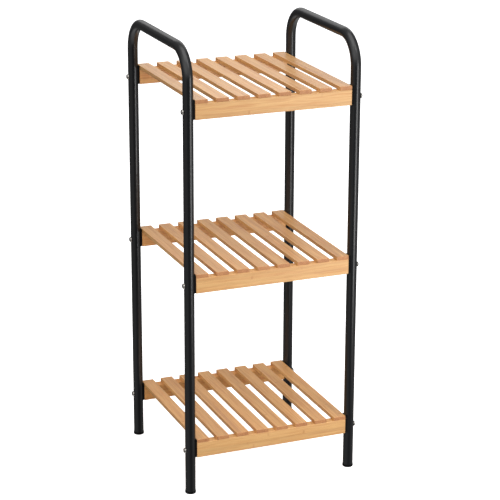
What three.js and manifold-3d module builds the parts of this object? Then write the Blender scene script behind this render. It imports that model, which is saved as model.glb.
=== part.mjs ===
// A free-standing storage rack: two side frames of bent round tube, and three slatted bamboo shelves
// screwed between them. Millimetres, +Z up. X runs from the left frame to the right one, and Y from
// front to rear. The origin is on the floor, in the middle of the four feet.

import * as THREE from "three";
import { mergeVertices } from "three/addons/utils/BufferGeometryUtils.js";
import Module from "manifold-3d";

const wasm = await Module();
wasm.setup();

// ---- Driving dimensions ----

const rack_height = 884;

const tube_diameter = 20;
const tube_wall = 1.2;
const bend_radius = 57;
const bend_steps = 7;

const shelf_count = 3;
const bottom_shelf_top = 113;
const shelf_pitch = 335.5;

const slat_count = 8;
const slat_length = 326;
const slat_width = 25;
const slat_thickness = 7.5;
const slat_edge = 0.8;

const rail_length = 315;
const rail_thickness = 18;
const rail_height = 30;
const rail_edge = 1;

const spacer_web = 0.6;
const spacer_inset = 0.75;

const screw_diameter = 6;
const screw_past_insert = 3;
const screw_point = 0.8;
const head_diameter = 10.5;
const head_height = 3.3;
const head_rim = 0.7;
const head_underside_edge = 0.35;
const head_flat_diameter = 5.6;
const socket_width = 4;
const socket_depth = 2.1;

const insert_bore_diameter = 8.5;
const insert_bore_depth = 16;
const screw_bore_spare = 3;

const cap_lip_diameter = 21.2;
const cap_lip_height = 5;
const cap_edge = 1.5;
const plug_lead_in = 0.8;
const cap_plug_length = 16;
const cap_plug_wall = 1.8;
const cap_floor = 3;

// Clearances between pieces that meet.
const glue_line = 0.1;
const seat_gap = 0.1;
const cove_gap = 0.2;
const screw_clearance = 0.3;
const plug_clearance = 0.15;

const round_segments = 24;
const small_segments = 14;
const rounding_steps = 2;

// ---- Places worked out from the driving dimensions ----

const tube_radius = tube_diameter / 2;
const shelf_half_length = rail_length / 2;
const frame_x = shelf_half_length + seat_gap + spacer_web + cove_gap + tube_radius;
const leg_y = (slat_length - rail_thickness) / 2;
const leg_bottom = cap_lip_height + seat_gap;
const bar_z = rack_height - tube_radius;
const bend_start_z = bar_z - bend_radius;
const slat_pitch = (rail_length - slat_width) / (slat_count - 1);
const screw_hole_radius = screw_diameter / 2 + screw_clearance;
const screw_grip = frame_x + tube_radius + seat_gap - shelf_half_length;
const screw_length = screw_grip + insert_bore_depth + screw_past_insert;
const overshoot = 1;

const side_names = ["left", "right"];
const depth_names = ["front", "rear"];
const shelf_names = ["bottom", "middle", "top"];

function signOf(index) {
  return index === 0 ? -1 : 1;
}

function shelfTop(level) {
  return bottom_shelf_top + level * shelf_pitch;
}

function shelfName(level) {
  return shelf_names[level] ?? `tier_${level + 1}`;
}

function railCentreZ(level) {
  return shelfTop(level) - slat_thickness - glue_line - rail_height / 2;
}

// ---- Finishes ----

const powder_coat = new THREE.MeshStandardMaterial({
  name: "powder_coated_steel",
  color: "#1a1b1d",
  roughness: 0.42,
  metalness: 0.0,
});
const bamboo = new THREE.MeshStandardMaterial({
  name: "lacquered_bamboo",
  color: "#dcae79",
  roughness: 0.4,
  metalness: 0.0,
});
const zinc = new THREE.MeshStandardMaterial({
  name: "zinc_plated_steel",
  color: "#c4c2be",
  roughness: 0.28,
  metalness: 1.0,
});
const black_plastic = new THREE.MeshStandardMaterial({
  name: "moulded_black_plastic",
  color: "#111214",
  roughness: 0.55,
  metalness: 0.0,
});

// ---- Solids and booleans ----

function solidFrom(geometry) {
  const bare = geometry.clone();
  bare.deleteAttribute("normal");
  bare.deleteAttribute("uv");
  const merged = mergeVertices(bare, 1e-4);
  const mesh = new wasm.Mesh({
    numProp: 3,
    vertProperties: merged.attributes.position.array,
    triVerts: new Uint32Array(merged.index.array),
  });
  return new wasm.Manifold(mesh);
}

function geometryFrom(solid) {
  const mesh = solid.getMesh();
  const geometry = new THREE.BufferGeometry();
  geometry.setAttribute("position", new THREE.BufferAttribute(mesh.vertProperties, 3));
  geometry.setIndex(new THREE.BufferAttribute(mesh.triVerts, 1));
  const flat = geometry.toNonIndexed();
  flat.computeVertexNormals();
  return flat;
}

// Takes each of the cutters out of a shape.
function cutAway(geometry, cutters) {
  let solid = solidFrom(geometry);
  for (const cutter of cutters) {
    solid = solid.subtract(solidFrom(cutter));
  }
  return geometryFrom(solid);
}

// A cylinder along X from one x to another, about a line at y and z.
function cylinderAlongX(radius, from_x, to_x, y, z) {
  const length = Math.abs(to_x - from_x);
  const geometry = new THREE.CylinderGeometry(radius, radius, length, small_segments);
  geometry.rotateZ(Math.PI / 2);
  geometry.translate((from_x + to_x) / 2, y, z);
  return geometry;
}

// A rectangle with its corners cut off at 45 degrees, about the origin.
function easedRectangle(width, height, edge) {
  const x = width / 2;
  const y = height / 2;
  const shape = new THREE.Shape();
  shape.moveTo(-x + edge, -y);
  shape.lineTo(x - edge, -y);
  shape.lineTo(x, -y + edge);
  shape.lineTo(x, y - edge);
  shape.lineTo(x - edge, y);
  shape.lineTo(-x + edge, y);
  shape.lineTo(-x, y - edge);
  shape.lineTo(-x, -y + edge);
  shape.closePath();
  return shape;
}

// Points on a quarter of an ellipse about a centre, from one angle to another, for lathe profiles.
function quarterPoints(centre_x, centre_y, radius_x, radius_y, from_angle, to_angle) {
  const points = [];
  for (let i = 0; i <= rounding_steps; i += 1) {
    const angle = from_angle + (i / rounding_steps) * (to_angle - from_angle);
    const x = centre_x + radius_x * Math.cos(angle);
    const y = centre_y + radius_y * Math.sin(angle);
    points.push(new THREE.Vector2(x, y));
  }
  return points;
}

function circle(radius) {
  return new THREE.Shape().absarc(0, 0, radius, 0, 2 * Math.PI, false);
}

// ---- Side frame ----

// A quarter turn in the YZ plane about a centre, from one angle to another.
class QuarterBend extends THREE.Curve {
  constructor(centre_y, centre_z, radius, from_angle, to_angle) {
    super();
    this.centre_y = centre_y;
    this.centre_z = centre_z;
    this.radius = radius;
    this.from_angle = from_angle;
    this.to_angle = to_angle;
  }

  getPoint(t, target = new THREE.Vector3()) {
    const angle = this.from_angle + t * (this.to_angle - this.from_angle);
    const y = this.centre_y + this.radius * Math.cos(angle);
    const z = this.centre_z + this.radius * Math.sin(angle);
    return target.set(0, y, z);
  }

  getTangent(t, target = new THREE.Vector3()) {
    const angle = this.from_angle + t * (this.to_angle - this.from_angle);
    const turn = Math.sign(this.to_angle - this.from_angle);
    return target.set(0, -turn * Math.sin(angle), turn * Math.cos(angle));
  }
}

// The tube's centre line. Straight stretches take one step each and the bends take several, so a
// step is looked up by its stretch and not by its distance along the tube.
class BentTubePath extends THREE.Curve {
  constructor() {
    super();
    const bend_y = leg_y - bend_radius;
    const front_foot = new THREE.Vector3(0, -leg_y, leg_bottom);
    const front_top = new THREE.Vector3(0, -leg_y, bend_start_z);
    const bar_front = new THREE.Vector3(0, -bend_y, bar_z);
    const bar_rear = new THREE.Vector3(0, bend_y, bar_z);
    const rear_top = new THREE.Vector3(0, leg_y, bend_start_z);
    const rear_foot = new THREE.Vector3(0, leg_y, leg_bottom);
    this.stretches = [
      { curve: new THREE.LineCurve3(front_foot, front_top), steps: 1 },
      { curve: new QuarterBend(-bend_y, bend_start_z, bend_radius, Math.PI, Math.PI / 2), steps: bend_steps },
      { curve: new THREE.LineCurve3(bar_front, bar_rear), steps: 1 },
      { curve: new QuarterBend(bend_y, bend_start_z, bend_radius, Math.PI / 2, 0), steps: bend_steps },
      { curve: new THREE.LineCurve3(rear_top, rear_foot), steps: 1 },
    ];
    this.steps = this.stretches.reduce((sum, stretch) => sum + stretch.steps, 0);
  }

  locate(u) {
    let left = u * this.steps;
    for (const stretch of this.stretches) {
      if (left <= stretch.steps + 1e-6) {
        return { curve: stretch.curve, t: Math.min(left / stretch.steps, 1) };
      }
      left -= stretch.steps;
    }
    const last = this.stretches[this.stretches.length - 1];
    return { curve: last.curve, t: 1 };
  }

  getPointAt(u, target) {
    const { curve, t } = this.locate(u);
    return curve.getPoint(t, target);
  }

  getTangentAt(u, target) {
    const { curve, t } = this.locate(u);
    return curve.getTangent(t, target);
  }
}

// Tube holes for the screws, through both walls of both legs at every shelf.
function legHoles() {
  const reach = tube_radius + overshoot;
  const holes = [];
  for (let level = 0; level < shelf_count; level += 1) {
    for (const y of [-leg_y, leg_y]) {
      holes.push(cylinderAlongX(screw_hole_radius, -reach, reach, y, railCentreZ(level)));
    }
  }
  return holes;
}

function sideFrame() {
  const section = circle(tube_radius);
  section.holes.push(circle(tube_radius - tube_wall));
  const path = new BentTubePath();
  const tube = new THREE.ExtrudeGeometry(section, {
    steps: path.steps,
    curveSegments: round_segments / 2,
    extrudePath: path,
  });
  return cutAway(tube, legHoles());
}

// ---- Foot cap: a lip under the leg end and a hollow plug inside it ----

function footCap() {
  const lip = cap_lip_diameter / 2;
  const plug = tube_radius - tube_wall - plug_clearance;
  const bore = plug - cap_plug_wall;
  const plug_top = leg_bottom + cap_plug_length;
  const profile = [
    new THREE.Vector2(0, 0),
    ...quarterPoints(lip - cap_edge, cap_edge, cap_edge, cap_edge, -Math.PI / 2, 0),
    new THREE.Vector2(lip, cap_lip_height),
    new THREE.Vector2(plug, cap_lip_height),
    new THREE.Vector2(plug, plug_top - plug_lead_in),
    new THREE.Vector2(plug - plug_lead_in, plug_top),
    new THREE.Vector2(bore, plug_top),
    new THREE.Vector2(bore, cap_floor),
    new THREE.Vector2(0, cap_floor),
  ];
  const geometry = new THREE.LatheGeometry(profile, round_segments);
  geometry.rotateX(Math.PI / 2);
  return geometry;
}

// ---- Bamboo ----

function slat() {
  const geometry = new THREE.ExtrudeGeometry(easedRectangle(slat_width, slat_thickness, slat_edge), {
    depth: slat_length,
    bevelEnabled: false,
  });
  geometry.translate(0, 0, -slat_length / 2);
  geometry.rotateX(Math.PI / 2);
  return geometry;
}

// Each end has a stepped bore: wide for the threaded insert, then narrow for the screw's point.
function rail() {
  const geometry = new THREE.ExtrudeGeometry(easedRectangle(rail_thickness, rail_height, rail_edge), {
    depth: rail_length,
    bevelEnabled: false,
  });
  geometry.translate(0, 0, -rail_length / 2);
  geometry.rotateZ(Math.PI / 2);
  geometry.rotateY(Math.PI / 2);
  const bores = [];
  for (const sign of [-1, 1]) {
    const mouth = sign * (shelf_half_length + overshoot);
    const insert_end = sign * (shelf_half_length - insert_bore_depth);
    const screw_end = sign * (screwTipDistance() - screw_bore_spare);
    bores.push(cylinderAlongX(insert_bore_diameter / 2, mouth, insert_end, 0, 0));
    bores.push(cylinderAlongX(screw_hole_radius, mouth, screw_end, 0, 0));
  }
  return cutAway(geometry, bores);
}

// ---- Spacer between a leg and a rail end: flat on the rail's side, hollowed for the tube ----

function spacer() {
  const height = slat_thickness + glue_line + rail_height - 2 * spacer_inset;
  const width = rail_thickness - 2 * spacer_inset;
  const tube_centre = tube_radius + cove_gap + spacer_web;
  const block = new THREE.BoxGeometry(tube_centre, width, height);
  block.translate(tube_centre / 2, 0, railStackCentre());
  const cove = new THREE.CylinderGeometry(
    tube_radius + cove_gap,
    tube_radius + cove_gap,
    height + 2 * overshoot,
    round_segments,
  );
  cove.rotateX(Math.PI / 2);
  cove.translate(tube_centre, 0, railStackCentre());
  const hole = cylinderAlongX(screw_hole_radius, -overshoot, tube_centre, 0, 0);
  return cutAway(block, [cove, hole]);
}

// Height of the middle of rail and slat together, above the middle of the rail.
function railStackCentre() {
  return (slat_thickness + glue_line) / 2;
}

// ---- Screw: button head with a hexagon socket, pointing along -X from under its head ----

function screwTipDistance() {
  return frame_x + tube_radius + seat_gap - screw_length;
}

function screw() {
  const shank = screw_diameter / 2;
  const head = head_diameter / 2;
  const crown = head_flat_diameter / 2;
  const profile = [
    new THREE.Vector2(0, -screw_length),
    new THREE.Vector2(shank - screw_point, -screw_length),
    new THREE.Vector2(shank, -screw_length + screw_point),
    new THREE.Vector2(shank, 0),
    new THREE.Vector2(head - head_underside_edge, 0),
    new THREE.Vector2(head, head_underside_edge),
    ...quarterPoints(crown, head_rim, head - crown, head_height - head_rim, 0, Math.PI / 2),
    new THREE.Vector2(0, head_height),
  ];
  const body = new THREE.LatheGeometry(profile, small_segments);
  const across_corners = socket_width / Math.cos(Math.PI / 6);
  const socket = new THREE.CylinderGeometry(
    across_corners / 2,
    across_corners / 2,
    socket_depth + overshoot,
    6,
  );
  socket.translate(0, head_height - socket_depth + (socket_depth + overshoot) / 2, 0);
  const cut = cutAway(body, [socket]);
  cut.rotateZ(-Math.PI / 2);
  return cut;
}

// ---- The rack ----

const rack = new THREE.Group();

function place(parent, name, geometry, material, x, y, z) {
  const mesh = new THREE.Mesh(geometry, material);
  mesh.name = name;
  mesh.position.set(x, y, z);
  parent.add(mesh);
  return mesh;
}

const frame_geometry = sideFrame();
const cap_geometry = footCap();
const slat_geometry = slat();
const rail_geometry = rail();
const spacer_geometry = spacer();
const screw_geometry = screw();

for (const [i, side] of side_names.entries()) {
  place(rack, `${side}_side_frame`, frame_geometry, powder_coat, signOf(i) * frame_x, 0, 0);
  for (const [j, depth] of depth_names.entries()) {
    const cap_name = `${depth}_${side}_foot_cap`;
    place(rack, cap_name, cap_geometry, black_plastic, signOf(i) * frame_x, signOf(j) * leg_y, 0);
  }
}

// One shelf: two rails, the slats on them, and what fixes the four rail ends to the legs.
function shelf(level) {
  const group = new THREE.Group();
  const name = `${shelfName(level)}_shelf`;
  const slat_z = slat_thickness / 2 + glue_line + rail_height / 2;
  group.position.z = railCentreZ(level);
  for (let i = 0; i < slat_count; i += 1) {
    const slat_x = -shelf_half_length + slat_width / 2 + i * slat_pitch;
    place(group, `${name}_slat_${i + 1}`, slat_geometry, bamboo, slat_x, 0, slat_z);
  }
  for (const [j, depth] of depth_names.entries()) {
    const y = signOf(j) * leg_y;
    place(group, `${name}_${depth}_rail`, rail_geometry, bamboo, 0, y, 0);
    for (const [i, side] of side_names.entries()) {
      const end = `${name}_${depth}_${side}`;
      const turn = i === 0 ? Math.PI : 0;
      const spacer_x = signOf(i) * (shelf_half_length + seat_gap);
      const screw_x = signOf(i) * (frame_x + tube_radius + seat_gap);
      place(group, `${end}_spacer`, spacer_geometry, black_plastic, spacer_x, y, 0).rotation.z = turn;
      place(group, `${end}_screw`, screw_geometry, zinc, screw_x, y, 0).rotation.z = turn;
    }
  }
  return group;
}

for (let level = 0; level < shelf_count; level += 1) {
  rack.add(shelf(level));
}

export default rack;
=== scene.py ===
"""Looks of a three-tier storage rack: bent black steel tube, slatted bamboo shelves, screws and caps.

Everything is in metres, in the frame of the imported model: X from the left side frame to the right
one, Y from front to rear, Z up from the floor.
"""

from __future__ import annotations

import logging
import math
from collections.abc import Sequence
from dataclasses import dataclass, field
from enum import Enum

import bmesh
import bpy
from mathutils import Matrix, Vector


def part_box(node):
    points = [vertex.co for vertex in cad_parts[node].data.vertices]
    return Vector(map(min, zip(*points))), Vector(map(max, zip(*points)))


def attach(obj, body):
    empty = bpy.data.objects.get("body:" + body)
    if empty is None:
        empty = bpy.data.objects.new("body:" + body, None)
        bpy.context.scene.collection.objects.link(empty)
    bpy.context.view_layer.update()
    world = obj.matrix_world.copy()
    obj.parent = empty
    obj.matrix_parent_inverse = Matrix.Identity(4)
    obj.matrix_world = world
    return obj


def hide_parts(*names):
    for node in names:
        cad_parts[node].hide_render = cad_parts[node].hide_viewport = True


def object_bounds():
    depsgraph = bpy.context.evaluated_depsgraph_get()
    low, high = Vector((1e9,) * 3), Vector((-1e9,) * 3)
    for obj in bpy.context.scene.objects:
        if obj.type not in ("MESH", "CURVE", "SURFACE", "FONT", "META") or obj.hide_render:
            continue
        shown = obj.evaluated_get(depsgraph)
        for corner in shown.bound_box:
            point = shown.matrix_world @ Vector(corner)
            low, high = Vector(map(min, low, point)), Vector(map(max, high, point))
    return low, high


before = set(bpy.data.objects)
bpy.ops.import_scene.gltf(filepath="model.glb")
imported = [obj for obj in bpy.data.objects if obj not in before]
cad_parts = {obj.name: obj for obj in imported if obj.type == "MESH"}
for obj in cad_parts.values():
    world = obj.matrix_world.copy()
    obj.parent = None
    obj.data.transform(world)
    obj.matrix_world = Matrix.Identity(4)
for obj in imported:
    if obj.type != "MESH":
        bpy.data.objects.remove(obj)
CAD_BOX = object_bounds()

LOG = logging.getLogger("rack")
MM = 0.001
TOUCHING = 1e-7
END_FACE_SLOPE = 0.7
LARGEST_FACE_WEIGHT = 100
ROOT = "root"

BOARD_ATTRIBUTE = "board_mm"
SEED_ATTRIBUTE = "board_seed"

Ring = list[Vector]
Tree = bpy.types.NodeTree
Socket = bpy.types.NodeSocket
Colour = tuple[float, float, float, float]
Range = tuple[float, float]
Outline = list[tuple[float, float]]


# ---------------------------------------------------------------------------
# Colours and nodes
# ---------------------------------------------------------------------------


def linear(hex_colour: str) -> Colour:
    """Turns an sRGB hex colour into linear light.

    Args:
        hex_colour: Six hex digits, with or without a leading hash.

    Returns:
        Linear red, green and blue, and an alpha of 1.
    """
    digits = hex_colour.lstrip("#")
    channels = []
    for start in (0, 2, 4):
        value = int(digits[start : start + 2], 16) / 255
        channels.append(value / 12.92 if value <= 0.04045 else ((value + 0.055) / 1.055) ** 2.4)
    return channels[0], channels[1], channels[2], 1.0


def add_node(
    tree: Tree,
    kind: str,
    settings: dict[str, object] | None = None,
    inputs: dict[str | int, object] | None = None,
) -> bpy.types.Node:
    """Adds one node, with its settings and what goes into it.

    Args:
        tree: The node tree that gets the node.
        kind: The node's type name.
        settings: Node properties and their values.
        inputs: Input sockets, by name or place, and an output socket or a plain value for each.

    Returns:
        The new node.
    """
    node = tree.nodes.new(kind)
    for name, value in (settings or {}).items():
        setattr(node, name, value)
    for key, value in (inputs or {}).items():
        if isinstance(value, bpy.types.NodeSocket):
            tree.links.new(value, node.inputs[key])
        else:
            node.inputs[key].default_value = value
    return node


def remap(
    tree: Tree, value: Socket, to: Range, within: Range = (0.0, 1.0), smooth: bool = False
) -> Socket:
    """Stretches a value from one range to another, and holds it at both ends.

    Args:
        tree: The node tree.
        value: The value.
        to: The ends of the new range.
        within: The ends of the old range.
        smooth: True if the value eases into both ends.

    Returns:
        The value in its new range.
    """
    ends = dict(zip(("From Min", "From Max", "To Min", "To Max"), (*within, *to)))
    settings = {"interpolation_type": "SMOOTHSTEP" if smooth else "LINEAR"}
    return add_node(tree, "ShaderNodeMapRange", settings, {"Value": value, **ends}).outputs[0]


def calculate(tree: Tree, operation: str, *values: Socket | float) -> Socket:
    """Adds one step of arithmetic on numbers.

    Args:
        tree: The node tree.
        operation: The Math node's operation.
        values: What it works on, in order.

    Returns:
        The result.
    """
    settings = {"operation": operation}
    return add_node(tree, "ShaderNodeMath", settings, dict(enumerate(values))).outputs[0]


def calculate_vector(tree: Tree, operation: str, *values: Socket | Sequence[float]) -> Socket:
    """Adds one step of arithmetic on vectors or colours.

    Args:
        tree: The node tree.
        operation: The Vector Math node's operation.
        values: What it works on, in order. A number socket counts in all three directions.

    Returns:
        The result.
    """
    settings = {"operation": operation}
    return add_node(tree, "ShaderNodeVectorMath", settings, dict(enumerate(values))).outputs[0]


def mix_colours(tree: Tree, share: Socket, first: Socket | Colour, second: Socket | Colour) -> Socket:
    """Blends two colours.

    Args:
        tree: The node tree.
        share: How much of the second colour there is, from 0 to 1.
        first: The first colour.
        second: The second colour.

    Returns:
        The blended colour.
    """
    inputs = {0: share, 6: first, 7: second}
    return add_node(tree, "ShaderNodeMix", {"data_type": "RGBA"}, inputs).outputs[2]


def mix_values(tree: Tree, share: Socket | float, first: Socket, second: Socket | float) -> Socket:
    """Blends two numbers.

    Args:
        tree: The node tree.
        share: How much of the second number there is, from 0 to 1.
        first: The first number.
        second: The second number.

    Returns:
        The blended number.
    """
    inputs = {0: share, 2: first, 3: second}
    return add_node(tree, "ShaderNodeMix", {"data_type": "FLOAT"}, inputs).outputs[0]


def noise(tree: Tree, point: Socket, scale: float, detail: float, roughness: float = 0.5) -> Socket:
    """Adds cloudy noise.

    Args:
        tree: The node tree.
        point: Where the noise is taken.
        scale: How many blotches there are in one unit of the point.
        detail: How many finer layers it has.
        roughness: How strong the finer layers are.

    Returns:
        The noise, from 0 to 1.
    """
    inputs = {"Vector": point, "Scale": scale, "Detail": detail, "Roughness": roughness}
    return add_node(tree, "ShaderNodeTexNoise", {}, inputs).outputs[0]


def noise_on_piece(tree: Tree, size_mm: float, detail: float, roughness: float = 0.5) -> Socket:
    """Adds noise with blotches of a real size, in the coordinates of the piece that wears it.

    Args:
        tree: The node tree.
        size_mm: The blotches' size.
        detail: How many finer layers it has.
        roughness: How strong the finer layers are.

    Returns:
        The noise, from 0 to 1.
    """
    place = add_node(tree, "ShaderNodeTexCoord").outputs["Object"]
    return noise(tree, place, 1 / (size_mm * MM), detail, roughness)


def relief(tree: Tree, height: Socket, full_height: float) -> Socket:
    """Turns a height from 0 to 1 into the slope of a surface.

    Args:
        tree: The node tree.
        height: The height's share of the full height.
        full_height: The full height in metres.

    Returns:
        The surface's normal.
    """
    return add_node(tree, "ShaderNodeBump", {}, {"Distance": full_height, "Height": height}).outputs[0]


def finish_surface(tree: Tree, inputs: dict[str | int, object]) -> None:
    """Adds the Principled shader and the output that end a material.

    Args:
        tree: The material's node tree.
        inputs: What goes into the Principled shader.
    """
    shader = add_node(tree, "ShaderNodeBsdfPrincipled", {}, inputs)
    add_node(tree, "ShaderNodeOutputMaterial", {}, {"Surface": shader.outputs[0]})


def new_material(name: str) -> tuple[bpy.types.Material, Tree]:
    """Makes an empty node material.

    Args:
        name: The material's name.

    Returns:
        The material and its node tree, with nothing in it.
    """
    material = bpy.data.materials.new(name)
    material.use_nodes = True
    material.node_tree.nodes.clear()
    return material, material.node_tree


# ---------------------------------------------------------------------------
# Finishes
# ---------------------------------------------------------------------------


@dataclass(frozen=True)
class PowderCoatedSteel:
    """Satin black polyester powder coat, sprayed and baked on steel tube.

    The baked powder flows into a faint orange peel. It gives the eye one long soft highlight down
    each tube, with a slightly broken edge, on a black that stays deep.
    """

    colour: str = "#101113"
    roughness: float = 0.3
    roughness_spread: float = 0.03
    specular: float = 0.5
    peel_mm: float = 2.2
    peel_layers: float = 1.5
    peel_fineness: float = 0.4
    peel_height: float = 0.006 * MM
    grit_mm: float = 0.35
    grit_layers: float = 2.0
    grit_share: float = 0.2

    def build(self) -> bpy.types.Material:
        """Makes the material.

        Returns:
            The finished material.
        """
        material, tree = new_material("powder_coated_steel")
        peel = noise_on_piece(tree, self.peel_mm, self.peel_layers, self.peel_fineness)
        grit = noise_on_piece(tree, self.grit_mm, self.grit_layers)
        height = mix_values(tree, self.grit_share, peel, grit)
        blur = (self.roughness - self.roughness_spread, self.roughness + self.roughness_spread)
        finish_surface(
            tree,
            {
                "Base Color": linear(self.colour),
                "Roughness": remap(tree, grit, blur),
                "Specular IOR Level": self.specular,
                "Normal": relief(tree, height, self.peel_height),
            },
        )
        return material


@dataclass(frozen=True)
class ZincPlatedSteel:
    """Bright zinc plate over cold-headed steel.

    Tumbling leaves fine marks, so the heads read as a slightly milky silver with soft glints.
    """

    colour: str = "#a5a29d"
    smoothest: float = 0.16
    roughest: float = 0.3
    mark_mm: float = 0.6
    mark_layers: float = 3.0
    mark_height: float = 0.01 * MM

    def build(self) -> bpy.types.Material:
        """Makes the material.

        Returns:
            The finished material.
        """
        material, tree = new_material("zinc_plated_steel")
        marks = noise_on_piece(tree, self.mark_mm, self.mark_layers)
        finish_surface(
            tree,
            {
                "Base Color": linear(self.colour),
                "Metallic": 1.0,
                "Roughness": remap(tree, marks, (self.smoothest, self.roughest)),
                "Normal": relief(tree, marks, self.mark_height),
            },
        )
        return material


@dataclass(frozen=True)
class MouldedPolyethylene:
    """Black polyethylene from a spark-eroded mould.

    Its fine even grain scatters light, so it reads as a flat black next to the satin tube.
    """

    colour: str = "#060606"
    roughness: float = 0.7
    specular: float = 0.1
    grain_mm: float = 0.5
    grain_layers: float = 2.0
    grain_height: float = 0.03 * MM

    def build(self) -> bpy.types.Material:
        """Makes the material.

        Returns:
            The finished material.
        """
        material, tree = new_material("moulded_black_plastic")
        grain = noise_on_piece(tree, self.grain_mm, self.grain_layers)
        finish_surface(
            tree,
            {
                "Base Color": linear(self.colour),
                "Roughness": self.roughness,
                "Specular IOR Level": self.specular,
                "Normal": relief(tree, grain, self.grain_height),
            },
        )
        return material


class Cut(Enum):
    """Which way a bamboo surface is cut."""

    LONG_GRAIN = "long_grain"
    END_GRAIN = "end_grain"


class BoardTone(Enum):
    """Board tones: pale and tan streaks, a pink blush, and how full the lacquer is.

    Slats get a fuller coat than rails, so that things slide on them and they shine more at a
    low angle. The slats' tone is more saturated than the front rails', so that the slats' shaded
    sides and ends come out warm: partly the bamboo's own colour, partly painted shade. The rear
    rails' tone is a darker orange, painted shade from the slats that lie over them.
    """

    # Slats: more saturated, partly the bamboo's colour and partly painted warm shade on their sides and
    # ends.
    HONEY = ("#e0ac6b", "#cc8c4d", "#c78454", 0.9)
    STRAW = ("#d5a86e", "#c38b50", "#c08753", 0.08)
    # Rear rails: a darker orange, painted shade from the slats over them.
    AMBER = ("#dca461", "#c78545", "#c17d49", 0.08)


@dataclass(frozen=True)
class LacqueredBamboo:
    """Planed boards glued from split bamboo strips, under a clear satin lacquer.

    Each strip has its own tone. Along it run fibre streaks that sway a little, and every few
    hundred millimetres a node crosses it as a darker, slightly ragged band. A cut end shows the
    strips as blocks dotted with the dark ends of the fibre bundles. The lacquer lays a soft sheen
    over all of it.
    """

    cut: Cut
    tone: BoardTone
    node_brown: str = "#a5632f"
    end_pale: str = "#c68d58"
    end_dark: str = "#9a5f38"
    smoothest: float = 0.45
    roughest: float = 0.57
    coat_roughness: float = 0.22
    fineness: float = 0.55
    strip_mm: float = 6.2
    strip_slide_mm: tuple[float, float, float] = (900.0, 0.0, 60.0)
    board_apart_mm: tuple[float, float, float] = (0.0, 0.0, 41.0)
    strip_shades: Range = (0.9, 1.06)
    wave_length_mm: float = 38.0
    wave_width_mm: float = 30.0
    wave_height_mm: float = 3.0
    wave_layers: float = 1.0
    streak_length_mm: float = 95.0
    streak_width_mm: float = 2.4
    streak_edges: Range = (0.36, 0.72)
    streak_layers: float = 3.0
    fibre_length_mm: float = 34.0
    fibre_width_mm: float = 0.7
    fibre_edges: Range = (0.25, 0.75)
    fibre_shades: Range = (0.93, 1.06)
    fibre_height: float = 0.03 * MM
    fibre_layers: float = 2.0
    patch_length_mm: float = 150.0
    patch_width_mm: float = 9.0
    patch_edges: Range = (0.48, 0.78)
    patch_share: float = 0.75
    patch_layers: float = 2.0
    node_spacing_mm: float = 270.0
    node_half_width_mm: float = 3.4
    node_ragged_mm: float = 5.0
    node_chance_edges: Range = (0.45, 1.0)
    node_share: float = 0.55
    node_relief: float = 1.5
    bundle_mm: float = 1.1
    bundle_edges: Range = (0.2, 0.5)
    bundle_share: float = 0.8
    bundle_height: float = 0.05 * MM
    end_cloud_scale: float = 0.22
    end_cloud_share: float = 0.5
    end_cloud_layers: float = 2.0
    end_strip_share: float = 0.3
    end_roughness: float = 0.62
    end_coat: float = 0.12
    end_coat_roughness: float = 0.3

    def build(self) -> bpy.types.Material:
        """Makes the material.

        Returns:
            The finished material.
        """
        material, tree = new_material(f"lacquered_bamboo_{self.tone.name.lower()}_{self.cut.value}")
        if self.cut is Cut.END_GRAIN:
            self._end_grain(tree)
        else:
            self._long_grain(tree)
        return material

    def _strip(self, tree: Tree) -> tuple[Socket, dict[str, Socket]]:
        """Works out where on which glued strip a point is.

        Args:
            tree: The material's node tree.

        Returns:
            The point in millimetres, moved along by a length of the strip's own, and the strip's
            random numbers, by the letters X, Y and Z.
        """
        board = add_node(tree, "ShaderNodeAttribute", {"attribute_name": BOARD_ATTRIBUTE}).outputs["Vector"]
        seed = add_node(tree, "ShaderNodeAttribute", {"attribute_name": SEED_ATTRIBUTE}).outputs["Fac"]
        across = add_node(tree, "ShaderNodeSeparateXYZ", {}, {0: board}).outputs["Y"]
        strips = calculate(tree, "MULTIPLY_ADD", across, 1 / self.strip_mm, seed)
        index = calculate(tree, "FLOOR", strips)
        key = add_node(tree, "ShaderNodeCombineXYZ", {}, {"X": index, "Y": seed}).outputs[0]
        dice = add_node(tree, "ShaderNodeTexWhiteNoise", {"noise_dimensions": "3D"}, {"Vector": key})
        chance = dice.outputs["Color"]
        slid = calculate_vector(tree, "MULTIPLY_ADD", chance, self.strip_slide_mm, board)
        point = calculate_vector(tree, "MULTIPLY_ADD", seed, self.board_apart_mm, slid)
        randoms = add_node(tree, "ShaderNodeSeparateXYZ", {}, {0: chance}).outputs
        return point, {letter: randoms[letter] for letter in "XYZ"}

    def _along_grain(
        self, tree: Tree, point: Socket, length_mm: float, width_mm: float, detail: float
    ) -> Socket:
        """Adds noise drawn out along the grain.

        Args:
            tree: The material's node tree.
            point: The point in millimetres, along, across and through the board.
            length_mm: The size of a blotch along the grain.
            width_mm: Its size across the grain.
            detail: How many finer layers the noise has.

        Returns:
            The noise, from 0 to 1.
        """
        share = (1 / length_mm, 1 / width_mm, 1 / width_mm)
        squeezed = calculate_vector(tree, "MULTIPLY", point, share)
        return noise(tree, squeezed, 1.0, detail, self.fineness)

    def _long_grain(self, tree: Tree) -> None:
        """Fills a material with the planed face of a board.

        Args:
            tree: The material's node tree.
        """
        pale, tan, pink, coat = self.tone.value
        straight, randoms = self._strip(tree)
        wave = (self.wave_length_mm, self.wave_width_mm, self.wave_layers)
        streak = (self.streak_length_mm, self.streak_width_mm, self.streak_layers)
        fibre = (self.fibre_length_mm, self.fibre_width_mm, self.fibre_layers)
        patch = (self.patch_length_mm, self.patch_width_mm, self.patch_layers)
        bend = self._along_grain(tree, straight, *wave)
        sway = remap(tree, bend, (-self.wave_height_mm, self.wave_height_mm))
        shift = add_node(tree, "ShaderNodeCombineXYZ", {}, {"Y": sway}).outputs[0]
        point = calculate_vector(tree, "ADD", straight, shift)
        streaks = self._along_grain(tree, point, *streak)
        fibres = self._along_grain(tree, point, *fibre)
        patches = self._along_grain(tree, point, *patch)

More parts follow.
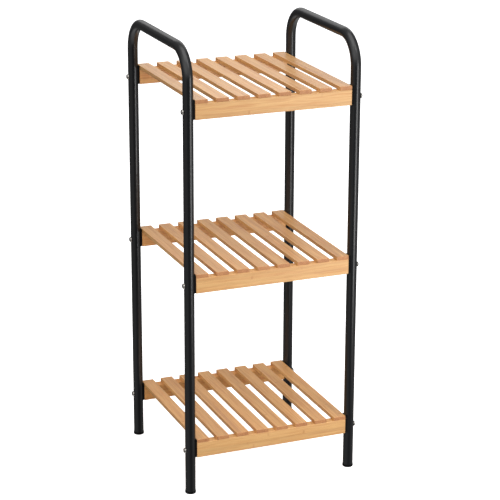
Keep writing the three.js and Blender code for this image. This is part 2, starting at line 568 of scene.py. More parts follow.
        streak_share = remap(tree, streaks, (0.0, 1.0), self.streak_edges, smooth=True)
        wood = mix_colours(tree, streak_share, linear(pale), linear(tan))
        blush_share = remap(tree, patches, (0.0, self.patch_share), self.patch_edges, smooth=True)
        blushed = mix_colours(tree, blush_share, wood, linear(pink))
        fibre_shade = remap(tree, fibres, self.fibre_shades, self.fibre_edges)
        strip_shade = remap(tree, randoms["Y"], self.strip_shades)
        shade = calculate(tree, "MULTIPLY", fibre_shade, strip_shade)
        shaded = calculate_vector(tree, "MULTIPLY", blushed, shade)

        node_share = self._node_share(tree, point, streaks, randoms["Z"])
        height = calculate(tree, "MULTIPLY_ADD", node_share, self.node_relief, fibres)
        finish_surface(
            tree,
            {
                "Base Color": mix_colours(tree, node_share, shaded, linear(self.node_brown)),
                "Roughness": remap(tree, fibres, (self.smoothest, self.roughest)),
                "Coat Weight": coat,
                "Coat Roughness": self.coat_roughness,
                "Normal": relief(tree, height, self.fibre_height),
            },
        )

    def _node_share(self, tree: Tree, point: Socket, streaks: Socket, chance: Socket) -> Socket:
        """Works out how much of a bamboo node shows at a point.

        Args:
            tree: The material's node tree.
            point: The point in millimetres.
            streaks: The streak noise, which makes the band's edges ragged.
            chance: The strip's random number. Only some strips have nodes, stronger or weaker.

        Returns:
            The node's share, from 0 to 1.
        """
        along = add_node(tree, "ShaderNodeSeparateXYZ", {}, {0: point}).outputs["X"]
        ragged = calculate(tree, "MULTIPLY_ADD", streaks, self.node_ragged_mm, along)
        distance = calculate(tree, "PINGPONG", ragged, self.node_spacing_mm / 2)
        band = remap(tree, distance, (1.0, 0.0), (0.0, self.node_half_width_mm), smooth=True)
        strength = remap(tree, chance, (0.0, self.node_share), self.node_chance_edges)
        return calculate(tree, "MULTIPLY", band, strength)

    def _end_grain(self, tree: Tree) -> None:
        """Fills a material with the sawn end of a board.

        Args:
            tree: The material's node tree.
        """
        point, randoms = self._strip(tree)
        share = (0.0, 1 / self.bundle_mm, 1 / self.bundle_mm)
        flat = calculate_vector(tree, "MULTIPLY", point, share)
        bundles = add_node(tree, "ShaderNodeTexVoronoi", {}, {"Vector": flat, "Scale": 1.0})
        distance = bundles.outputs["Distance"]
        dots = remap(tree, distance, (self.bundle_share, 0.0), self.bundle_edges, smooth=True)
        cloud = noise(tree, flat, self.end_cloud_scale, self.end_cloud_layers)
        shade = calculate(tree, "MULTIPLY_ADD", cloud, self.end_cloud_share, dots)
        uneven = calculate(tree, "MULTIPLY_ADD", randoms["Y"], self.end_strip_share, shade)
        finish_surface(
            tree,
            {
                "Base Color": mix_colours(tree, uneven, linear(self.end_pale), linear(self.end_dark)),
                "Roughness": self.end_roughness,
                "Coat Weight": self.end_coat,
                "Coat Roughness": self.end_coat_roughness,
                "Normal": relief(tree, dots, self.bundle_height),
            },
        )


@dataclass
class Finishes:
    """Every material of the rack, made once and shared by its pieces."""

    steel: bpy.types.Material = field(default_factory=lambda: PowderCoatedSteel().build())
    zinc: bpy.types.Material = field(default_factory=lambda: ZincPlatedSteel().build())
    plastic: bpy.types.Material = field(default_factory=lambda: MouldedPolyethylene().build())
    bamboo: dict[BoardTone, bpy.types.Material] = field(
        default_factory=lambda: {tone: LacqueredBamboo(Cut.LONG_GRAIN, tone).build() for tone in BoardTone}
    )
    bamboo_end: bpy.types.Material = field(
        default_factory=lambda: LacqueredBamboo(Cut.END_GRAIN, BoardTone.HONEY).build()
    )


# ---------------------------------------------------------------------------
# Meshes from rings
# ---------------------------------------------------------------------------


def circle_ring(radius: float, height: float, count: int) -> Ring:
    """Points on a circle about the Z axis.

    Args:
        radius: The circle's radius.
        height: Its Z.
        count: How many points it has.

    Returns:
        The points, anticlockwise as seen from above.
    """
    turns = (2 * math.pi * i / count for i in range(count))
    return [Vector((radius * math.cos(a), radius * math.sin(a), height)) for a in turns]


def hexagon_ring(across_flats: float, height: float, count: int) -> Ring:
    """Points on a hexagon about the Z axis, at the same angles as a circle_ring.

    Args:
        across_flats: The hexagon's width between opposite sides.
        height: Its Z.
        count: How many points it has, a multiple of 6.

    Returns:
        The points, anticlockwise as seen from above.
    """
    ring = []
    for i in range(count):
        angle = 2 * math.pi * i / count
        from_middle_of_side = (angle % (math.pi / 3)) - math.pi / 6
        radius = across_flats / 2 / math.cos(from_middle_of_side)
        ring.append(Vector((radius * math.cos(angle), radius * math.sin(angle), height)))
    return ring


def rounded_rectangle(width: float, height: float, radius: float, steps: int) -> Outline:
    """The outline of a rectangle with rounded corners, about the origin.

    Args:
        width: Its size in the first direction.
        height: Its size in the second direction.
        radius: The corners' radius.
        steps: How many straight bits each corner has.

    Returns:
        The outline's points, anticlockwise.
    """
    outline = []
    for quarter, (sx, sy) in enumerate(((1, 1), (-1, 1), (-1, -1), (1, -1))):
        for step in range(steps + 1):
            angle = (quarter + step / steps) * math.pi / 2
            x = sx * (width / 2 - radius) + radius * math.cos(angle)
            y = sy * (height / 2 - radius) + radius * math.sin(angle)
            outline.append((x, y))
    return outline


def loft(rings: Sequence[Ring], closed: bool = False) -> bpy.types.Mesh:
    """Joins rings of equally many points into one closed surface.

    Args:
        rings: The rings in order. The first and last are filled in, unless the surface is closed.
            A ring of one point is a tip.
        closed: True if the last ring joins the first.

    Returns:
        The mesh, with faces turned out, smooth faces, and sharp edges where it bends sharply.
    """
    body = bmesh.new()
    made = [[body.verts.new(point) for point in ring] for ring in rings]
    pairs = list(zip(made, made[1:]))
    if closed:
        pairs.append((made[-1], made[0]))
    for low, high in pairs:
        count = max(len(low), len(high))
        for i in range(count):
            j = (i + 1) % count
            if len(low) == 1:
                body.faces.new((low[0], high[j], high[i]))
            elif len(high) == 1:
                body.faces.new((low[i], low[j], high[0]))
            else:
                body.faces.new((low[i], low[j], high[j], high[i]))
    if not closed:
        if len(made[0]) > 1:
            body.faces.new(list(reversed(made[0])))
        if len(made[-1]) > 1:
            body.faces.new(made[-1])
    bmesh.ops.recalc_face_normals(body, faces=body.faces)
    soften(body)
    mesh = bpy.data.meshes.new("loft")
    body.to_mesh(mesh)
    body.free()
    return mesh


def soften(body: bmesh.types.BMesh, sharp_degrees: float = 35.0) -> None:
    """Makes faces smooth and marks the edges that bend sharply.

    Args:
        body: The mesh to mark.
        sharp_degrees: The least bend of a sharp edge.
    """
    for face in body.faces:
        face.smooth = True
    for edge in body.edges:
        if len(edge.link_faces) == 2:
            edge.smooth = edge.calc_face_angle() < math.radians(sharp_degrees)


def lathe(profile: Sequence[tuple[float, float]], count: int, closed: bool = False) -> bpy.types.Mesh:
    """Turns a profile about the Z axis.

    Args:
        profile: Pairs of radius and height. A radius of 0 at either end is a tip.
        count: How many points go round.
        closed: True if the profile ends where it starts, as for a ring.

    Returns:
        The turned mesh.
    """
    rings: list[Ring] = []
    for radius, height in profile:
        if radius == 0:
            rings.append([Vector((0, 0, height))])
        else:
            rings.append(circle_ring(radius, height, count))
    return loft(rings, closed)


def arc(
    centre: tuple[float, float], radii: tuple[float, float], start: float, end: float, steps: int
) -> Outline:
    """Points on part of an ellipse, for a profile.

    Args:
        centre: The ellipse's centre.
        radii: Its radii in both directions.
        start: The first point's angle in degrees.
        end: The last point's angle in degrees.
        steps: How many straight bits it has.

    Returns:
        The points in order.
    """
    points = []
    for i in range(steps + 1):
        angle = math.radians(start + (end - start) * i / steps)
        points.append((centre[0] + radii[0] * math.cos(angle), centre[1] + radii[1] * math.sin(angle)))
    return points


def drill(mesh: bpy.types.Mesh, cutters: Sequence[bpy.types.Mesh]) -> bpy.types.Mesh:
    """Cuts holes in a mesh.

    Args:
        mesh: The mesh to cut.
        cutters: Closed meshes that are taken out of it.

    Returns:
        The mesh with its holes. The meshes that it came from are removed.
    """
    work = bpy.data.objects.new("work", mesh)
    bpy.context.scene.collection.objects.link(work)
    helpers = []
    for cutter in cutters:
        helper = bpy.data.objects.new("cutter", cutter)
        bpy.context.scene.collection.objects.link(helper)
        cut = work.modifiers.new("cut", "BOOLEAN")
        cut.operation = "DIFFERENCE"
        cut.solver = "EXACT"
        cut.object = helper
        helpers.append(helper)
    drilled = bpy.data.meshes.new_from_object(work.evaluated_get(bpy.context.evaluated_depsgraph_get()))
    for helper in [work, *helpers]:
        old = helper.data
        bpy.data.objects.remove(helper)
        bpy.data.meshes.remove(old)
    body = bmesh.new()
    body.from_mesh(drilled)
    bmesh.ops.remove_doubles(body, verts=body.verts, dist=TOUCHING)
    soften(body)
    body.to_mesh(drilled)
    body.free()
    return drilled


def pin(radius: float, length: float, middle: Vector, axis: Vector, count: int = 32) -> bpy.types.Mesh:
    """A plain closed cylinder to cut a hole with.

    Args:
        radius: The hole's radius.
        length: The cylinder's length.
        middle: The middle of its axis.
        axis: Its direction.
        count: How many points go round.

    Returns:
        The cylinder's mesh.
    """
    mesh = loft([circle_ring(radius, -length / 2, count), circle_ring(radius, length / 2, count)])
    turn = axis.to_track_quat("Z", "Y").to_matrix().to_4x4()
    mesh.transform(Matrix.Translation(middle) @ turn)
    return mesh


def add_piece(
    name: str,
    mesh: bpy.types.Mesh,
    materials: Sequence[bpy.types.Material],
    replaced: str | None,
    at: Matrix | None = None,
) -> bpy.types.Object:
    """Puts a finished piece in the scene and tells the frame about it.

    Args:
        name: The piece's name.
        mesh: Its mesh.
        materials: Its materials, in the order of the mesh's material numbers.
        replaced: The CAD node that it stands for, if there is one.
        at: Where it goes, if its mesh isn't already in place.

    Returns:
        The new object.
    """
    if not mesh.materials:
        for material in materials:
            mesh.materials.append(material)
    piece = bpy.data.objects.new(name, mesh)
    bpy.context.scene.collection.objects.link(piece)
    if at is not None:
        piece.matrix_world = at
    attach(piece, ROOT)
    if replaced is not None:
        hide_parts(replaced)
    LOG.info("made %s with %d faces", name, len(mesh.polygons))
    return piece


def keep_flats_flat(piece: bpy.types.Object) -> None:
    """Lets the large faces of a piece set the shading where they meet narrow rounded edges.

    Args:
        piece: The piece.
    """
    weigh = piece.modifiers.new("flats", "WEIGHTED_NORMAL")
    weigh.keep_sharp = True
    weigh.weight = LARGEST_FACE_WEIGHT


# ---------------------------------------------------------------------------
# Sub-assemblies
# ---------------------------------------------------------------------------


@dataclass
class SideFrame:
    """One upside-down U of bent round tube, with screw holes through both its legs."""

    node: str
    screw_heights: Sequence[float]
    bend_radius: float = 57 * MM
    wall: float = 1.2 * MM
    hole_radius: float = 3.3 * MM
    collar: float = 8 * MM
    bend_steps: int = 20
    round_count: int = 72

    def __post_init__(self) -> None:
        """Reads the tube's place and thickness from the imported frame."""
        low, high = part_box(self.node)
        self.x = (low.x + high.x) / 2
        self.radius = (high.x - low.x) / 2
        self.leg_y = high.y - self.radius
        self.bottom = low.z
        self.bar_z = high.z - self.radius

    def _stations(self) -> list[tuple[Vector, Vector]]:
        """Follows the tube's centre line from the front foot over the top bar to the rear foot.

        Returns:
            Points on the line, each with the direction of the tube there.
        """
        bend_y = self.leg_y - self.bend_radius
        bend_z = self.bar_z - self.bend_radius
        heights = [self.bottom]
        for height in sorted(self.screw_heights):
            heights += [height - self.collar, height + self.collar]
        stations = [(Vector((self.x, -self.leg_y, z)), Vector((0, 0, 1))) for z in heights]
        for step in range(self.bend_steps + 1):
            angle = math.pi - step / self.bend_steps * math.pi / 2
            out = Vector((0, math.cos(angle), math.sin(angle)))
            place = Vector((self.x, -bend_y, bend_z)) + out * self.bend_radius
            stations.append((place, Vector((0, out.z, -out.y))))
        rear = [
            (Vector((place.x, -place.y, place.z)), Vector((0, way.y, -way.z)))
            for place, way in reversed(stations)
        ]
        return stations + rear

    def _rings(self, radius: float) -> list[Ring]:
        """Rings of a given radius round the centre line.

        Args:
            radius: The rings' radius.

        Returns:
            One ring for each station.
        """
        side = Vector((1, 0, 0))
        rings = []
        for place, way in self._stations():
            up = way.cross(side)
            ring = []
            for i in range(self.round_count):
                angle = 2 * math.pi * i / self.round_count
                ring.append(place + radius * (math.cos(angle) * side + math.sin(angle) * up))
            rings.append(ring)
        return rings

    def build(self, finishes: Finishes) -> None:
        """Makes the tube.

        Args:
            finishes: The rack's materials.
        """
        outer = self._rings(self.radius)
        inner = self._rings(self.radius - self.wall)
        tube = loft([*outer, *reversed(inner)], closed=True)
        holes = []
        for height in self.screw_heights:
            for y in (-self.leg_y, self.leg_y):
                middle = Vector((self.x, y, height))
                holes.append(pin(self.hole_radius, 3 * self.radius, middle, Vector((1, 0, 0))))
        tube = drill(tube, holes)
        add_piece(f"{self.node}_tube", tube, [finishes.steel], self.node)


@dataclass
class FootCap:
    """A moulded cap: a rounded lip under the leg, and a ribbed hollow plug inside it."""

    node: str
    lip_height: float = 5 * MM
    edge: float = 1.5 * MM
    edge_steps: int = 6
    top_edge: float = 0.4 * MM
    top_edge_steps: int = 3
    plug_radius: float = 8.45 * MM
    rib_radius: float = 8.75 * MM
    rib_height: float = 1.2 * MM
    rib_slope: float = 0.24 * MM
    rib_pitch: float = 4 * MM
    rib_count: int = 3
    first_rib: float = 1.5 * MM
    wall: float = 1.6 * MM
    floor: float = 3 * MM
    round_count: int = 64

    def build(self, finishes: Finishes) -> None:
        """Makes the cap.

        Args:
            finishes: The rack's materials.
        """
        low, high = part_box(self.node)
        lip = (high.x - low.x) / 2
        top = high.z
        under = (lip - self.edge, self.edge)
        over = (lip - self.top_edge, self.lip_height - self.top_edge)
        profile = [(0.0, 0.0)]
        profile += arc(under, (self.edge, self.edge), -90, 0, self.edge_steps)
        profile += arc(over, (self.top_edge, self.top_edge), 0, 90, self.top_edge_steps)
        profile.append((self.plug_radius, self.lip_height))
        for i in range(self.rib_count):
            start = self.lip_height + self.first_rib + i * self.rib_pitch
            profile += [
                (self.plug_radius, start),
                (self.rib_radius, start + self.rib_slope),
                (self.rib_radius, start + self.rib_height - self.rib_slope),
                (self.plug_radius, start + self.rib_height),
            ]
        bore = self.plug_radius - self.wall
        profile += [
            (self.plug_radius, top - self.top_edge),
            (self.plug_radius - self.top_edge, top),
            (bore, top),
            (bore, self.floor),
            (0.0, self.floor),
        ]
        mesh = lathe(profile, self.round_count)
        place = Matrix.Translation(((low.x + high.x) / 2, (low.y + high.y) / 2, low.z))
        name = f"{self.node}_moulding"
        add_piece(name, mesh, [finishes.plastic], self.node, place)


@dataclass
class Board:
    """A bamboo board with eased edges. A rail also has a stepped bore in each end."""

    node: str
    seed: float
    along: Vector
    across: Vector
    edge: float
    tone: BoardTone
    bores: Sequence[tuple[float, float]] = ()
    corner_steps: int = 4

    def build(self, finishes: Finishes) -> None:
        """Makes the board, with each point's place on it stored for the grain.

        Args:
            finishes: The rack's materials.
        """
        low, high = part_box(self.node)
        middle = (low + high) / 2
        size = high - low
        through = self.along.cross(self.across)
        length = abs(size.dot(self.along))
        width = abs(size.dot(self.across))
        thickness = abs(size.dot(through))
        mesh = loft(self._rings(length, width, thickness))
        self._write_grain(mesh)
        turn = Matrix((self.across, through, self.along)).transposed().to_4x4()
        mesh.transform(Matrix.Translation(middle) @ turn)
        materials = [finishes.bamboo[self.tone], finishes.bamboo_end]
        piece = add_piece(f"{self.node}_board", mesh, materials, self.node)
        keep_flats_flat(piece)

    def _rings(self, length: float, width: float, thickness: float) -> list[Ring]:
        """Rings from one end to the other, with the board along Z.

        Args:
            length: The board's length.
            width: Its size in X.
            thickness: Its size in Y.

        Returns:
            The rings, for loft.
        """
        rounding = []
        for step in range(self.corner_steps + 1):
            angle = step / self.corner_steps * math.pi / 2
            inset = self.edge * (1 - math.sin(angle))
            height = -length / 2 + self.edge * (1 - math.cos(angle))
            corner = self.edge - inset / 2
            outline = rounded_rectangle(width - 2 * inset, thickness - 2 * inset, corner, self.corner_steps)
            rounding.append([Vector((x, y, height)) for x, y in outline])
        directions = [math.atan2(point.y, point.x) for point in rounding[0]]
        bore: list[Ring] = []
        depth = 0.0
        for radius, next_depth in self.bores:
            for height in (depth, next_depth):
                z = -length / 2 + height
                bore.append([Vector((radius * math.cos(a), radius * math.sin(a), z)) for a in directions])
            depth = next_depth
        if bore:
            bore.append([Vector((0, 0, -length / 2 + depth))])
        start = [*reversed(bore), *rounding]
        end = [[Vector((p.x, p.y, -p.z)) for p in ring] for ring in reversed(start)]
        return start + end

    def _write_grain(self, mesh: bpy.types.Mesh) -> None:
        """Stores each point's place on the board and marks the sawn ends.

        Args:
            mesh: The board's mesh, along Z.
        """
        points = [Vector((v.co.z, v.co.x, v.co.y)) / MM for v in mesh.vertices]
        places = mesh.attributes.new(BOARD_ATTRIBUTE, "FLOAT_VECTOR", "POINT")
        for place, point in zip(places.data, points):
            place.vector = point
        seeds = mesh.attributes.new(SEED_ATTRIBUTE, "FLOAT", "POINT")
        for seed in seeds.data:
            seed.value = self.seed
        for face in mesh.polygons:
            if abs(face.normal.z) > END_FACE_SLOPE:
                face.material_index = 1


@dataclass
class ShadeSpacer:
    """A moulded black block between leg and rail, flat against the rail and hollowed to fit the tube. Its
    black also paints the shade in the crevice between rail end and tube.
    """

    node: str
    outward: float
    tube_x: float
    hole_z: float
    cove_radius: float = 10.2 * MM
    hole_radius: float = 3.3 * MM
    edge: float = 0.35 * MM
    cove_steps: int = 20

    def build(self, finishes: Finishes) -> None:
        """Makes the spacer.

        Args:
            finishes: The rack's materials.
        """
        low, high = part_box(self.node)
        half_width = (high.y - low.y) / 2
        middle_y = (high.y + low.y) / 2
        rail_x = low.x if self.outward > 0 else high.x
        to_tube = abs(self.tube_x - rail_x)
        levels = (
            (low.z, self.edge),
            (low.z + self.edge, 0.0),
            (high.z - self.edge, 0.0),
            (high.z, self.edge),
        )
        rings = []
        for z, inset in levels:
            outline = self._outline(half_width - inset, inset, to_tube)
            rings.append([Vector((rail_x + self.outward * x, middle_y + y, z)) for x, y in outline])
        middle = Vector((rail_x, middle_y, self.hole_z))
        mesh = drill(loft(rings), [pin(self.hole_radius, 4 * to_tube, middle, Vector((1, 0, 0)))])
        name = f"{self.node}_moulding"
        # The black moulding stands in for the shade in the crevice between rail end and tube: painted
        # shade.
        piece = add_piece(name, mesh, [finishes.plastic], self.node)
        keep_flats_flat(piece)

    def _outline(self, half_width: float, inset: float, to_tube: float) -> Outline:
        """The spacer seen from above, from its rail side outward.

        Args:
            half_width: Half its width.
            inset: How far the rail side is set back.
            to_tube: The distance from the rail side to the tube's centre line.

        Returns:
            The outline's points.
        """
        cove = self.cove_radius + inset
        reach = math.asin(half_width / cove)
        outline = [(inset, -half_width)]
        for step in range(self.cove_steps + 1):
            angle = -reach + 2 * reach * step / self.cove_steps
            outline.append((to_tube - cove * math.cos(angle), cove * math.sin(angle)))
        outline.append((inset, half_width))
        return outline


@dataclass
class Screw:
    """A button-head screw with a hexagon socket and a rolled thread. Along Z, head up."""

    head_radius: float = 5.25 * MM
    head_height: float = 3.3 * MM
    rim: float = 0.7 * MM
    crown_radius: float = 2.8 * MM
    underside_edge: float = 0.35 * MM
    crown_steps: int = 10
    socket_width: float = 4 * MM
    socket_depth: float = 2.1 * MM
    socket_lead_in: float = 0.2 * MM
    socket_point: float = 0.5 * MM
    length: float = 40 * MM
    shank_radius: float = 2.98 * MM
    plain_length: float = 18 * MM
    thread_pitch: float = 1 * MM
    thread_depth: float = 0.55 * MM
    tip_length: float = 1.2 * MM
    tip_taper: float = 0.8 * MM
    tip_flat: float = 0.2 * MM
    run_out_turns: int = 2
    rings_per_turn: int = 6
    round_count: int = 48

    def build(self) -> bpy.types.Mesh:
        """Makes the screw.

        Returns:
            Its mesh, with the underside of its head at Z 0.
        """
        count = self.round_count
        crown = (self.head_radius - self.crown_radius, self.head_height - self.rim)
        dome = arc((self.crown_radius, self.rim), crown, 0, 90, self.crown_steps)
        socket_floor = self.head_height - self.socket_depth
        mouth = self.socket_width + 2 * self.socket_lead_in
        return loft(
            [
                *self._thread(count),
                circle_ring(self.shank_radius, -self.plain_length, count),
                circle_ring(self.shank_radius, 0, count),
                circle_ring(self.head_radius - self.underside_edge, 0, count),
                circle_ring(self.head_radius, self.underside_edge, count),
                *(circle_ring(radius, height, count) for radius, height in dome),
                hexagon_ring(mouth, self.head_height, count),
                hexagon_ring(self.socket_width, self.head_height - self.socket_lead_in, count),
                hexagon_ring(self.socket_width, socket_floor, count),
                [Vector((0, 0, socket_floor - self.socket_point))],
            ]
        )

    def _thread(self, count: int) -> list[Ring]:
        """Rings of the threaded end, each point at the depth of the helix there.

        Args:
            count: How many points go round.

        Returns:
            The rings, from the tip up.
        """
        step = self.thread_pitch / self.rings_per_turn
        total = int((self.length - self.plain_length - step) / step)
        rings: list[Ring] = [[Vector((0, 0, -self.length))]]
        for k in range(total + 1):
            from_tip = k * step
            narrowing = 1 - min(1.0, (from_tip + self.tip_flat) / self.tip_length)
            run_out = min(1.0, (total - k) / (self.run_out_turns * self.rings_per_turn))
            ring = []
            for i in range(count):
                turn = i / count
                phase = (from_tip / self.thread_pitch - turn) % 1.0
                depth = self.thread_depth * abs(2 * phase - 1) * run_out
                radius = self.shank_radius - depth - narrowing * self.tip_taper
                angle = 2 * math.pi * turn
                z = -self.length + from_tip
                ring.append(Vector((radius * math.cos(angle), radius * math.sin(angle), z)))
            rings.append(ring)
        return rings


@dataclass
class ThreadedInsert:
    """A die-cast insert in the rail end, ridged outside and bored for the screw. Along Z."""

    outer_radius: float = 4.2 * MM
    root_radius: float = 3.75 * MM
    bore_radius: float = 3.05 * MM
    length: float = 15 * MM
    flange: float = 1 * MM
    ridge_pitch: float = 2 * MM
    ridge_slope: float = 0.6 * MM
    groove_end: float = 1.2 * MM
    round_count: int = 40

    def build(self) -> bpy.types.Mesh:
        """Makes the insert.

        Returns:
            Its mesh, with its mouth at Z 0 and the rest below.
        """
        profile = [(self.bore_radius, 0.0), (self.outer_radius, 0.0), (self.outer_radius, -self.flange)]
        ridges = int((self.length - 2 * self.flange) / self.ridge_pitch)
        for i in range(ridges):
            top = -self.flange - i * self.ridge_pitch
            profile += [
                (self.root_radius, top - self.ridge_slope),
                (self.root_radius, top - self.groove_end),
                (self.outer_radius, top - self.ridge_pitch),
            ]
        profile += [(self.root_radius, -self.length), (self.bore_radius, -self.length)]
        return lathe(profile, self.round_count, closed=True)


class Hardware:
    """The meshes that all the screws and all the inserts share."""

    def __init__(self) -> None:
        """Makes both meshes."""
        self.screw = Screw()
        self.screw_mesh = self.screw.build()
        self.insert_mesh = ThreadedInsert().build()


@dataclass
class Shelf:
    """One shelf: slats across two rails, and what fixes the rails to the legs."""

    name: str
    level: int
    slat_count: int = 8
    slat_edge: float = 0.8 * MM
    rail_edge: float = 1 * MM
    insert_bore: tuple[float, float] = (4.25 * MM, 16 * MM)
    screw_bore: tuple[float, float] = (3.3 * MM, 22 * MM)
    insert_setback: float = 0.5 * MM

    def screw_height(self) -> float:
        """Returns the height of the screws, in the middle of the rails."""
        low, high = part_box(f"{self.name}_front_rail")
        return (low.z + high.z) / 2

    def build(self, finishes: Finishes, hardware: Hardware) -> None:
        """Makes the shelf.

        Args:
            finishes: The rack's materials.
            hardware: The screw and insert meshes.
        """
        for i in range(1, self.slat_count + 1):
            Board(
                node=f"{self.name}_slat_{i}",
                seed=self._slat_seed(i),
                along=Vector((0, 1, 0)),
                across=Vector((1, 0, 0)),
                edge=self.slat_edge,
                tone=BoardTone.HONEY,
            ).build(finishes)
        # The rear rails' darker tone is painted shade from the slats over them.
        tones = {"front": BoardTone.STRAW, "rear": BoardTone.AMBER}
        for j, (depth, tone) in enumerate(tones.items()):
            Board(
                node=f"{self.name}_{depth}_rail",
                seed=self._rail_seed(j),
                along=Vector((1, 0, 0)),
                across=Vector((0, 0, 1)),
                edge=self.rail_edge,
                tone=tone,
                bores=(self.insert_bore, self.screw_bore),
            ).build(finishes)
            for side, outward in (("left", -1.0), ("right", 1.0)):
                self._fixing(depth, side, outward, finishes, hardware)

    def _slat_seed(self, number: int) -> float:
        """Returns the seed of a slat's grain, apart from that of every other board."""
        return 10 * self.level + number + 0.37 * ((7 * number + 3 * self.level) % 5)

    def _rail_seed(self, number: int) -> float:
        """Returns the seed of a rail's grain, past those of the slats."""
        return 50 + 7 * self.level + 3.3 * number

    def _fixing(
        self, depth: str, side: str, outward: float, finishes: Finishes, hardware: Hardware
    ) -> None:
        """Makes the spacer, whose black also paints the shade in the crevice at the rail end, and the screw
        and insert of that rail end.

        Args:
            depth: Front or rear.
            side: Left or right.
            outward: The sign of X on that side.
            finishes: The rack's materials.
            hardware: The screw and insert meshes.
        """
        end = f"{self.name}_{depth}_{side}"
        tube_low, tube_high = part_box(f"{side}_side_frame")
        ShadeSpacer(
            node=f"{end}_spacer",
            outward=outward,
            tube_x=(tube_low.x + tube_high.x) / 2,
            hole_z=self.screw_height(),
        ).build(finishes)
        low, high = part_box(f"{end}_screw")
        rail_low, rail_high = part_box(f"{self.name}_{depth}_rail")
        middle = (low + high) / 2
        crown_x = high.x if outward > 0 else low.x
        under_head = crown_x - outward * hardware.screw.head_height
        rail_end = rail_high.x if outward > 0 else rail_low.x
        insert_mouth = rail_end - outward * self.insert_setback
        turn = Vector((outward, 0, 0)).to_track_quat("Z", "Y").to_matrix().to_4x4()
        fixings = (
            (f"{end}_screw_turned", hardware.screw_mesh, f"{end}_screw", under_head),
            (f"{end}_insert", hardware.insert_mesh, None, insert_mouth),
        )
        for name, mesh, replaced, x in fixings:
            place = Matrix.Translation((x, middle.y, middle.z)) @ turn
            add_piece(name, mesh, [finishes.zinc], replaced, place)


# ---------------------------------------------------------------------------
# Studio
# ---------------------------------------------------------------------------


@dataclass(frozen=True)
class SoftBox:
    """A soft light that stands at a compass angle from the rack and faces it.

    The angle is 0 in front of the rack and grows towards its right side.
    """

    name: str
    angle: float
    distance: float
    height: float
    width: float
    tall: float
    power: float

    def build(self, target: Vector) -> None:
        """Makes the light.

        Args:
            target: The point that it faces.
        """
        data = bpy.data.lights.new(self.name, "AREA")
        data.shape = "RECTANGLE"
        data.size = self.width
        data.size_y = self.tall
        data.energy = self.power
        lamp = bpy.data.objects.new(self.name, data)
        angle = math.radians(self.angle)
        lamp.location = (self.distance * math.sin(angle), -self.distance * math.cos(angle), self.height)
        lamp.rotation_mode = "QUATERNION"
        lamp.rotation_quaternion = (lamp.location - target).to_track_quat("Z", "Y")
        lamp.visible_camera = False
        bpy.context.scene.collection.objects.link(lamp)


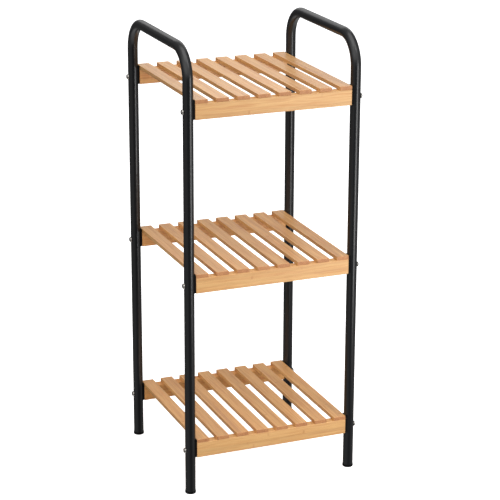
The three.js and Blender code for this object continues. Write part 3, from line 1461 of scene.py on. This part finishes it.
@dataclass
class Studio:
    """A pale floor, soft light all round, and the camera.

    The sky's strengths say how bright each part of it is, and its ranges say where, along a
    direction of length 1, one part turns into the next.
    """

    camera_angle: float = -22.28
    camera_elevation: float = 18.17
    camera_distance: float = 3.766
    camera_aim: tuple[float, float, float] = (0.0179, 0.0, 0.4268)
    camera_roll: float = 0.2
    lens_mm: float = 136.7
    sensor_mm: float = 36.0
    nearest: float = 0.05
    farthest: float = 200.0
    front_sky: float = 0.78
    rear_sky: float = 0.12
    zenith_sky: float = 0.15
    backdrop: float = 1.1
    nadir_sky: float = 0.7
    left_share: float = 2.6
    right_share: float = 0.7
    low_side: float = 0.34
    low_rear: float = 0.1
    low_front: float = 0.0
    front_to_rear: Range = (-0.6, 0.6)
    low_front_to_side: Range = (-0.9, -0.6)
    low_side_to_rear: Range = (0.2, 0.8)
    low_to_upper: Range = (0.0, 0.3)
    upper_to_zenith: Range = (0.55, 0.85)
    low_to_nadir: Range = (-0.5, -0.75)
    floor_colour: str = "#f3f3f3"
    floor_glow: float = 0.72
    floor_size: float = 60.0
    floor_drop: float = 0.3 * MM
    boxes: Sequence[SoftBox] = (
        SoftBox("key", angle=27, distance=1.15, height=0.45, width=0.35, tall=0.9, power=6.5),
        SoftBox("rear", angle=158, distance=2.0, height=1.9, width=2.4, tall=1.3, power=10),
        SoftBox("front_top", angle=27, distance=2.1, height=2.7, width=0.8, tall=0.8, power=8),
        SoftBox("overhead", angle=0, distance=0.3, height=2.4, width=1.6, tall=1.6, power=14),
    )

    def build(self) -> None:
        """Makes the studio."""
        self._camera()
        self._floor()
        self._sky()
        middle = (CAD_BOX[0] + CAD_BOX[1]) / 2
        for box in self.boxes:
            box.build(middle)
        view = bpy.context.scene.view_settings
        view.view_transform = "Standard"
        view.look = "None"

    def _camera(self) -> None:
        """Makes the camera, aimed at the rack from its front left."""
        angle = math.radians(self.camera_angle)
        elevation = math.radians(self.camera_elevation)
        level = math.cos(elevation)
        back = Vector((math.sin(angle) * level, -math.cos(angle) * level, math.sin(elevation)))
        right = Vector((0, 0, 1)).cross(back).normalized()
        up = back.cross(right)
        turn = Matrix((right, up, back)).transposed()
        roll = Matrix.Rotation(math.radians(self.camera_roll), 3, "Z")
        data = bpy.data.cameras.new("camera")
        data.lens = self.lens_mm
        data.sensor_width = self.sensor_mm
        data.clip_start = self.nearest
        data.clip_end = self.farthest
        camera = bpy.data.objects.new("camera", data)
        place = Vector(self.camera_aim) + back * self.camera_distance
        camera.matrix_world = Matrix.Translation(place) @ (turn @ roll).to_4x4()
        bpy.context.scene.collection.objects.link(camera)
        bpy.context.scene.camera = camera

    def _floor(self) -> None:
        """Makes the pale floor."""
        half = self.floor_size / 2
        corners = [(-half, -half, 0), (half, -half, 0), (half, half, 0), (-half, half, 0)]
        mesh = bpy.data.meshes.new("floor")
        mesh.from_pydata(corners, [], [(0, 1, 2, 3)])
        material, tree = new_material("matt_white_floor")
        finish_surface(
            tree,
            {
                "Base Color": linear(self.floor_colour),
                "Roughness": 1.0,
                "Specular IOR Level": 0.0,
                "Emission Color": linear("#ffffff"),
                "Emission Strength": self.floor_glow,
            },
        )
        mesh.materials.append(material)
        floor = bpy.data.objects.new("floor", mesh)
        floor.location.z = -self.floor_drop
        floor.visible_diffuse = False
        floor.visible_glossy = False
        bpy.context.scene.collection.objects.link(floor)

    def _sky(self) -> None:
        """Makes the soft light all round: brightest on the left, dim behind and low down.

        What the camera sees of it directly is an even white.
        """
        world = bpy.data.worlds.new("studio")
        world.use_nodes = True
        tree = world.node_tree
        tree.nodes.clear()
        place = add_node(tree, "ShaderNodeTexCoord").outputs["Generated"]
        way = add_node(tree, "ShaderNodeSeparateXYZ", {}, {0: place}).outputs
        rearward = remap(tree, way["Y"], (self.front_sky, self.rear_sky), self.front_to_rear, smooth=True)
        sideways = remap(tree, way["X"], (self.left_share, self.right_share), (-1.0, 1.0))
        zenith = remap(tree, way["Z"], (0.0, self.zenith_sky), self.upper_to_zenith, smooth=True)
        upper = calculate(tree, "MULTIPLY_ADD", rearward, sideways, zenith)

        beside = remap(tree, way["Y"], (self.low_front, self.low_side), self.low_front_to_side, smooth=True)
        dimming = (0.0, self.low_rear - self.low_side)
        behind = remap(tree, way["Y"], dimming, self.low_side_to_rear, smooth=True)
        nadir = remap(tree, way["Z"], (0.0, self.nadir_sky), self.low_to_nadir, smooth=True)
        lower = calculate(tree, "ADD", calculate(tree, "ADD", beside, behind), nadir)

        height = remap(tree, way["Z"], (0.0, 1.0), self.low_to_upper, smooth=True)
        strength = mix_values(tree, height, lower, upper)
        seen = add_node(tree, "ShaderNodeLightPath").outputs["Is Camera Ray"]
        shown = mix_values(tree, seen, strength, self.backdrop)
        light = {"Color": linear("#ffffff"), "Strength": shown}
        glow = add_node(tree, "ShaderNodeBackground", {}, light).outputs[0]
        add_node(tree, "ShaderNodeOutputWorld", {}, {"Surface": glow})
        bpy.context.scene.world = world


def main() -> None:
    """Builds the studio and the rack, piece by piece."""
    logging.basicConfig(level=logging.INFO, format="%(name)s: %(message)s")
    Studio().build()
    finishes = Finishes()
    hardware = Hardware()
    shelves = [Shelf(f"{tier}_shelf", level) for level, tier in enumerate(("bottom", "middle", "top"))]
    heights = [shelf.screw_height() for shelf in shelves]
    for side in ("left", "right"):
        SideFrame(f"{side}_side_frame", heights).build(finishes)
        for depth in ("front", "rear"):
            FootCap(f"{depth}_{side}_foot_cap").build(finishes)
    for shelf in shelves:
        shelf.build(finishes, hardware)


if __name__ == "__main__":
    main()
